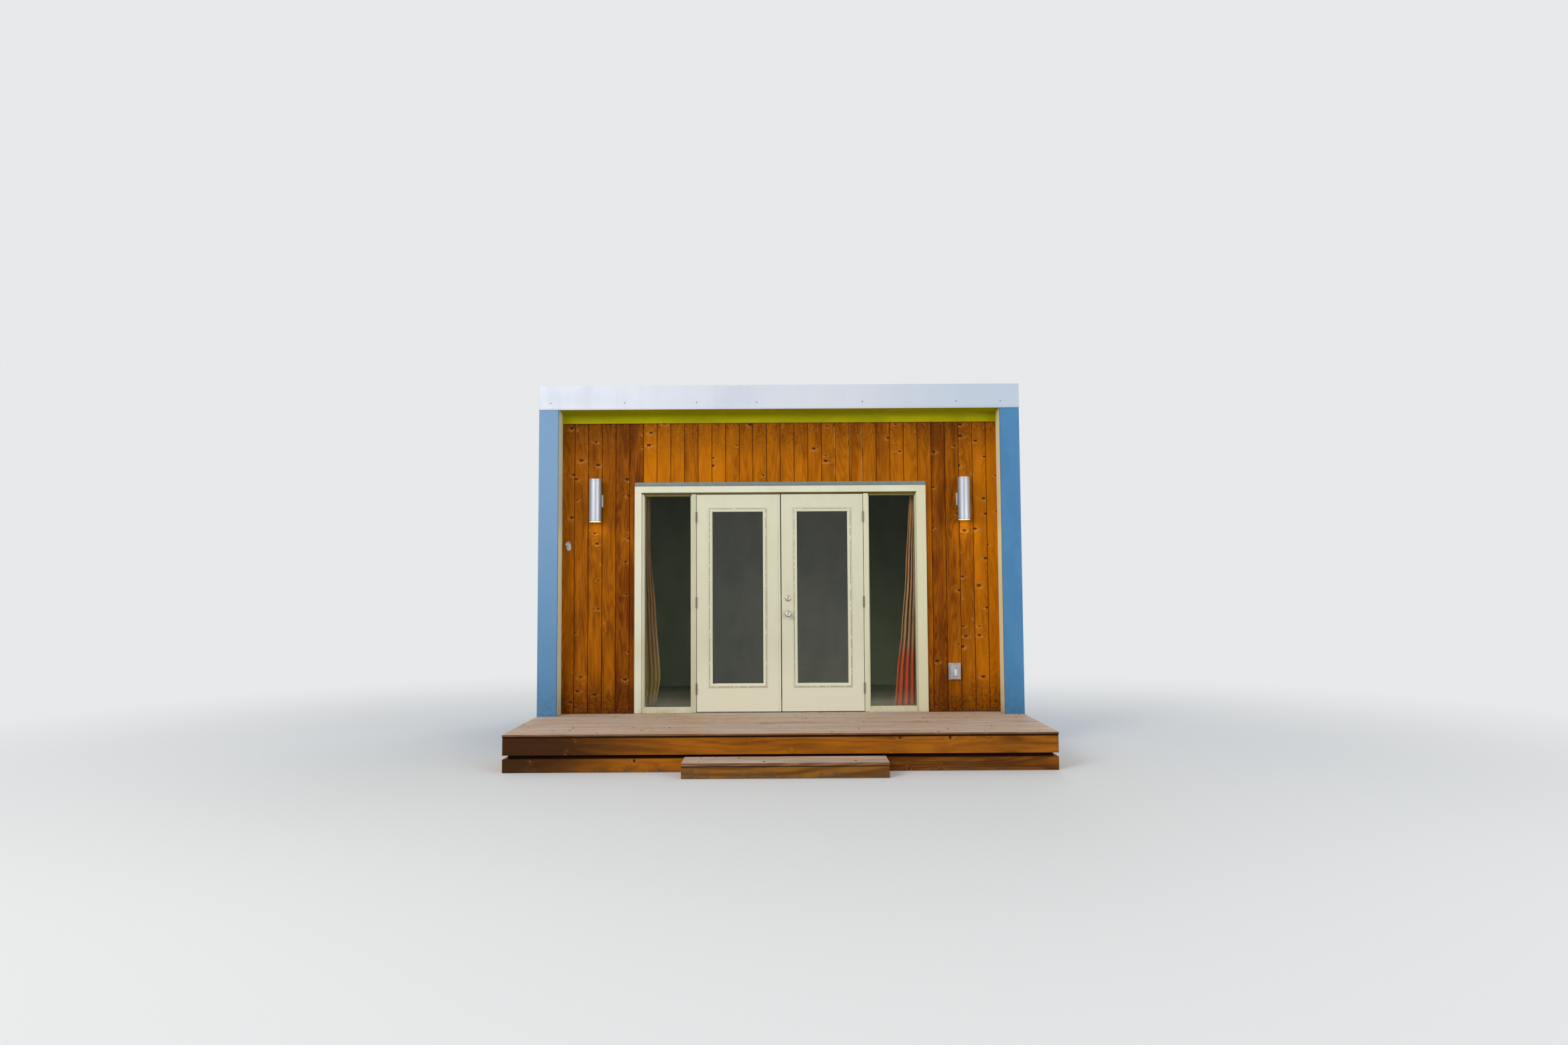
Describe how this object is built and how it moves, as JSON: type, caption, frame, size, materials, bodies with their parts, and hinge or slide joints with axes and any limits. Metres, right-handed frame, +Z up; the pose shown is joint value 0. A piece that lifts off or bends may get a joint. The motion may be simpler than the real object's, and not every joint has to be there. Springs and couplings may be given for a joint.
{
  "type": "garden office pod",
  "caption": "Timber garden office pod with a single-fall metal roof, glazed outward-opening doors between sidelights, and a deck with a step.",
  "frame": {"origin": "on the ground under the middle of the doorway, in the plane of the cladding's face", "axes": "+X to the right as seen from the deck, +Y from the deck towards the back wall, +Z up"},
  "size_m": [4.419, 4.585, 3.3179],
  "materials": {
    "framing_timber": "sawn treated timber",
    "floor_paint": "grey painted boards, satin",
    "lining_paint": "flat paint on boards",
    "blue_paint": "blue paint, low sheen, on rough boards",
    "recess_paint": "cream paint, low sheen",
    "stained_cladding": "orange-brown stain on knotty softwood",
    "olive_paint": "olive paint, low sheen",
    "roof_lining": "flat paint on boards",
    "galvanised_sheet": "galvanised, dull",
    "galvanised_trim": "galvanised, dull, slightly dented",
    "cream_paint": "cream paint, semi-gloss",
    "window_glass": "clear double glazing",
    "threshold_metal": "mill finish",
    "drip_metal": "bare flashing",
    "hinge_steel": "satin",
    "lock_steel": "satin",
    "curtain_cloth": "plain woven cloth",
    "weathered_deck": "weathered deck boards",
    "stained_rims": "stained boards",
    "light_housing": "satin silver",
    "cast_fittings": "grey powder coat"
  },
  "bodies": {
    "root": {"ground_bearers": "framing_timber", "floor_rims": "framing_timber", "floor_joists": "framing_timber", "floor_boards": "floor_paint", "side_walls": "lining_paint", "back_wall": "lining_paint", "front_wall_piers": "lining_paint", "front_wall_header": "lining_paint", "side_siding": "blue_paint", "back_siding": "blue_paint", "front_edge_boards": "blue_paint", "recess_boards": "recess_paint", "cladding_beside_doors": "stained_cladding", "cladding_over_doors": "stained_cladding", "frieze_board": "olive_paint", "porch_ceiling": "olive_paint", "room_ceiling": "lining_paint", "roof_panel": "roof_lining", "sub_fascia": "framing_timber", "roof_sheet": "galvanised_sheet", "front_fascia": "galvanised_trim", "side_fascias": "galvanised_trim", "back_fascia": "galvanised_trim", "frame_head": "cream_paint", "frame_jambs": "cream_paint", "frame_posts": "cream_paint", "sidelight_sills": "cream_paint", "sidelight_stops": "cream_paint", "sidelight_glass": "window_glass", "threshold": "threshold_metal", "casing_sides": "cream_paint", "casing_head": "cream_paint", "drip_cap": "drip_metal", "frame_hinges": "hinge_steel", "curtains": "curtain_cloth", "deck_boards": "weathered_deck", "deck_joists": "framing_timber", "deck_front_rims": "stained_rims", "deck_side_rims": "stained_rims", "step_treads": "weathered_deck", "step_riser": "stained_rims", "step_bearers": "stained_rims", "wall_lights": "light_housing", "wall_fittings": "cast_fittings"},
    "left_door": {"left_door_stiles": "cream_paint", "left_door_rails": "cream_paint", "left_door_lite_frames": "cream_paint", "left_door_glass": "window_glass", "left_door_astragal": "cream_paint", "left_door_hinges": "hinge_steel"},
    "right_door": {"right_door_stiles": "cream_paint", "right_door_rails": "cream_paint", "right_door_lite_frames": "cream_paint", "right_door_glass": "window_glass", "right_door_hinges": "hinge_steel", "right_door_locks": "lock_steel"}
  },
  "joints": [
    {"name": "left_door_hinge", "type": "hinge", "parent": "root", "child": "left_door", "pos_m": [-0.7775, -0.007, 1.317], "axis": [0, 0, -1], "range_deg": [0, 165]},
    {"name": "right_door_hinge", "type": "hinge", "parent": "root", "child": "right_door", "pos_m": [0.7775, -0.007, 1.317], "axis": [0, 0, 1], "range_deg": [0, 165]}
  ]
}
